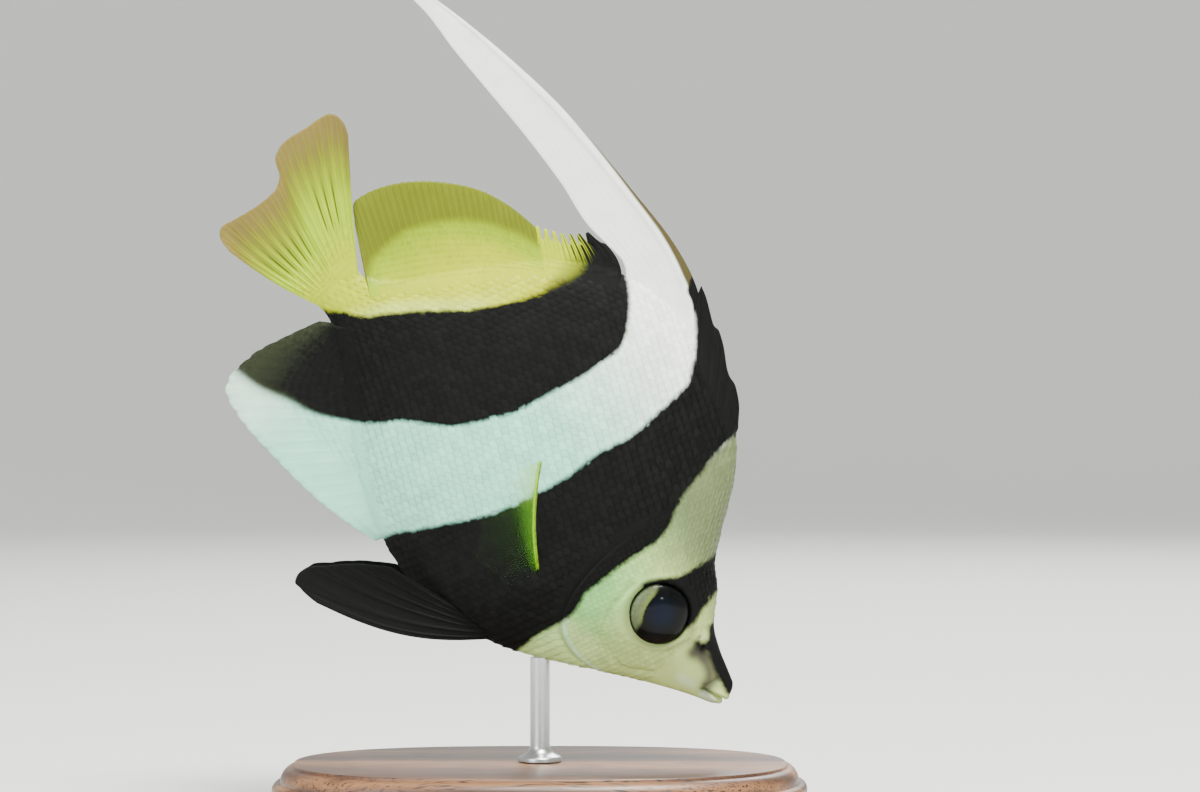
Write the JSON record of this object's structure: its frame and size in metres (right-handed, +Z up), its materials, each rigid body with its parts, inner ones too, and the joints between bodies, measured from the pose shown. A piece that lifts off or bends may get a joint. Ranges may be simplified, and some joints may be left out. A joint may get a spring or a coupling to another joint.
{
  "type": "pennant coralfish display model",
  "caption": "Still life-size pennant coralfish swimming head down, black, white and yellow bands, a long white dorsal streamer, held on a rod over an oval wooden base.",
  "frame": {"origin": "centre of the stand's underside, which rests on the floor", "axes": "+Z up, +X towards the side that the fish's head points to, +Y towards the fish's left flank"},
  "size_m": [0.1405, 0.084, 0.2138],
  "materials": {
    "white_skin": "satin painted scales, white with black bands",
    "yellow_skin": "satin painted scales, yellow above and black below",
    "eye": "polished dark glass",
    "black_fin": "satin black skin",
    "white_fin": "satin white skin",
    "yellow_fin": "yellow fin with a clear olive edge",
    "clear_fin": "thin clear yellow-green skin",
    "stand_wood": "satin walnut",
    "stand_steel": "brushed"
  },
  "bodies": {
    "root": {"head": "white_skin", "torso": "white_skin", "tail_stalk": "yellow_skin", "eye_left": "eye", "eye_right": "eye", "dorsal_fin_front": "black_fin", "dorsal_pennant": "white_fin", "dorsal_fin_spines": "black_fin", "dorsal_fin_soft": "yellow_fin", "caudal_fin": "yellow_fin", "anal_fin": "black_fin", "pectoral_fin_left": "clear_fin", "pectoral_fin_right": "clear_fin", "pelvic_fin_left": "black_fin", "pelvic_fin_right": "black_fin", "stand_base": "stand_wood", "stand_rod": "stand_steel"}
  },
  "joints": []
}
